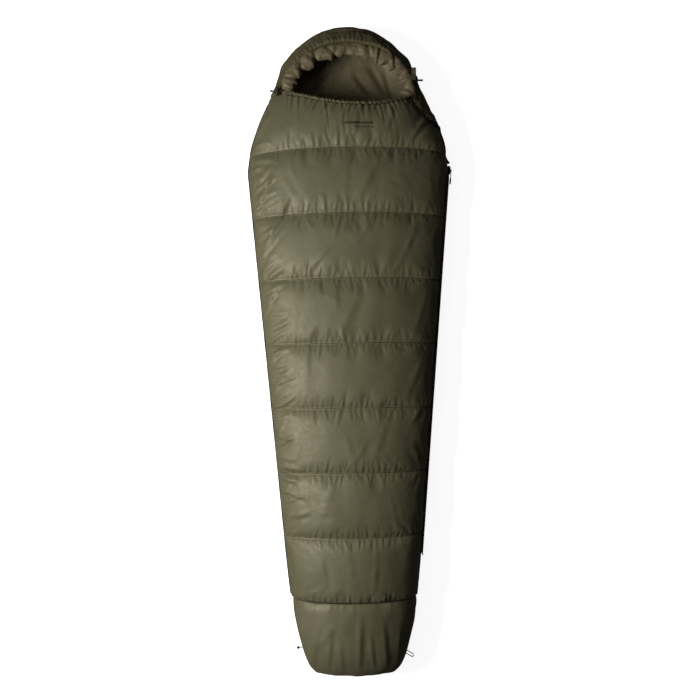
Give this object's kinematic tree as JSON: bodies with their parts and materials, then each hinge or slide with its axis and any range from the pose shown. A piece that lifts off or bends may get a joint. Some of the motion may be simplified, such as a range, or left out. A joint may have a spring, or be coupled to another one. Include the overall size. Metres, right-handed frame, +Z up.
{
  "type": "mummy sleeping bag",
  "caption": "Quilted mummy sleeping bag with a drawcord hood, a side zip whose top corner folds open, cord locks and hanging loops at the foot.",
  "frame": {"origin": "middle of the footprint, on the ground the back lies on", "axes": "+Y from the foot to the hood, +X to the zip side, +Z up from the ground through the chest"},
  "size_m": [0.7031, 2.2, 0.2165],
  "materials": {
    "shell_nylon": "olive ripstop nylon, calendered, soft sheen",
    "insulation": "white polyester hollow-fibre batting",
    "lining_nylon": "olive-brown nylon taffeta, soft sheen",
    "binding_tape": "dark olive woven tape",
    "cord": "braided elastic cord, dark olive",
    "zip_coil": "black nylon coil",
    "slider_metal": "black enamelled die-cast zinc",
    "grip_rubber": "moulded soft rubber",
    "lock_plastic": "moulded acetal, fine texture",
    "spring_steel": "spring wire",
    "hook_tape": "olive hook and loop tape"
  },
  "bodies": {
    "root": {"back_shell": "shell_nylon", "back_fill": "insulation", "back_lining": "lining_nylon", "foot_shell": "shell_nylon", "foot_fill": "insulation", "foot_lining": "lining_nylon", "hood_shell": "shell_nylon", "hood_fill": "insulation", "hood_lining": "lining_nylon", "hood_rim": "lining_nylon", "hood_drawcord": "cord", "hood_cord_ends": "cord", "hood_cord_knot": "cord", "top_shell": "shell_nylon", "top_fill": "insulation", "top_lining": "lining_nylon", "chest_hem": "binding_tape", "chest_drawcord": "cord", "chest_cord_ends": "cord", "chest_cord_knot": "cord", "side_binding": "binding_tape", "zip_coil_back": "zip_coil", "zip_tape_back": "binding_tape", "zip_coil_fixed": "zip_coil", "zip_tape_fixed": "binding_tape", "zip_bottom_stop": "zip_coil", "zip_top_stop_back": "zip_coil", "draft_tube": "lining_nylon", "foot_cord": "cord", "foot_cord_knob": "cord", "foot_loop": "binding_tape"},
    "top_flap": {"flap_shell": "shell_nylon", "flap_fill": "insulation", "flap_lining": "lining_nylon", "chest_hem_flap": "binding_tape", "chest_drawcord_flap": "cord", "zip_coil_flap": "zip_coil", "zip_tape_flap": "binding_tape", "zip_top_stop_flap": "zip_coil", "loop_patch": "hook_tape"},
    "zip_slider": {"zip_slider": "slider_metal", "slider_pin": "slider_metal"},
    "zip_pull": {"zip_pull": "slider_metal", "pull_grip": "grip_rubber"},
    "hood_lock": {"hood_lock_barrel": "lock_plastic", "hood_lock_spring": "spring_steel"},
    "hood_lock_button": {"hood_lock_button": "lock_plastic"},
    "collar_lock": {"collar_lock_barrel": "lock_plastic", "collar_lock_spring": "spring_steel"},
    "collar_lock_button": {"collar_lock_button": "lock_plastic"},
    "neck_tab": {"neck_tab": "hook_tape", "neck_tab_hook": "hook_tape"}
  },
  "joints": [
    {"name": "top_fold", "type": "hinge", "parent": "root", "child": "top_flap", "pos_m": [0.0605, 0.192, 0.224], "axis": [0.2905, -0.9569, 0], "range_deg": [0, 165]},
    {"name": "zip_slide", "type": "slide", "parent": "root", "child": "zip_slider", "axis": [-0.0849, -0.9964, 0], "range_m": [0, 1.3]},
    {"name": "zip_pull_swing", "type": "hinge", "parent": "zip_slider", "child": "zip_pull", "pos_m": [0.3541, 0.61107, 0.092], "axis": [0, 0, 1], "range_deg": [0, 170]},
    {"name": "hood_lock_slide", "type": "slide", "parent": "root", "child": "hood_lock", "axis": [1, 0, 0], "range_m": [0, 0.009]},
    {"name": "hood_lock_press", "type": "slide", "parent": "hood_lock", "child": "hood_lock_button", "axis": [0, -1, 0], "range_m": [0, 0.004], "stiffness_N_per_m": 400},
    {"name": "collar_lock_slide", "type": "slide", "parent": "root", "child": "collar_lock", "axis": [-1, 0, 0], "range_m": [0, 0.009]},
    {"name": "collar_lock_press", "type": "slide", "parent": "collar_lock", "child": "collar_lock_button", "axis": [0, -1, 0], "range_m": [0, 0.004], "stiffness_N_per_m": 400},
    {"name": "neck_tab_turn", "type": "hinge", "parent": "root", "child": "neck_tab", "pos_m": [0.225, 0.896, 0.161], "axis": [1, 0, 0], "range_deg": [0, 150]}
  ],
  "couplings": [
    {"joint": "zip_slide", "follows": "top_fold", "m_per_rad": 0.4514}
  ]
}
